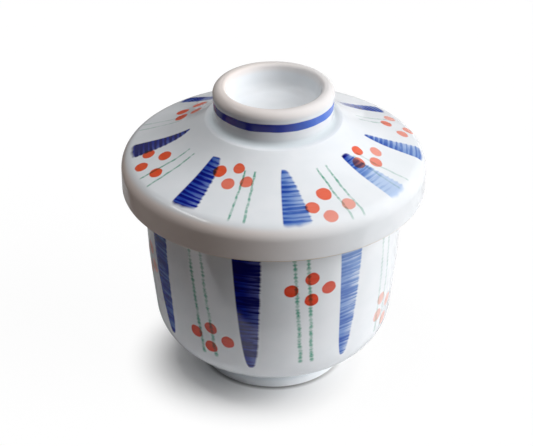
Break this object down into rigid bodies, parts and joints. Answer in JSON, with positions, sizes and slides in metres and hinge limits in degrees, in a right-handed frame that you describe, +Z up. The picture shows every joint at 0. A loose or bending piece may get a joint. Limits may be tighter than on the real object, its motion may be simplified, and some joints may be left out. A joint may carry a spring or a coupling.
{
  "type": "chawanmushi cup with lid",
  "caption": "Round porcelain steaming cup on a low foot ring, capped by a lift-off lid with a ring knob, for cooking and serving savoury custard.",
  "frame": {"origin": "centre of the foot ring where it stands on the table, on the axis that cup and lid share", "axes": "+Z up along the common axis of cup and lid, -Y towards the viewer of the picture, +X to that viewer's right"},
  "size_m": [0.086, 0.086, 0.0881],
  "materials": {
    "cup_porcelain": "clear gloss glaze over bluish white porcelain with underglaze painting, bare land under the foot",
    "lid_porcelain": "clear gloss glaze over bluish white porcelain with underglaze painting, bare land under the skirt"
  },
  "bodies": {
    "cup": {"cup": "cup_porcelain"},
    "lid": {"lid": "lid_porcelain"}
  },
  "joints": [
    {"name": "lid_lift", "type": "slide", "parent": "cup", "child": "lid", "axis": [0, 0, 1], "range_m": [0, 0.08]}
  ]
}
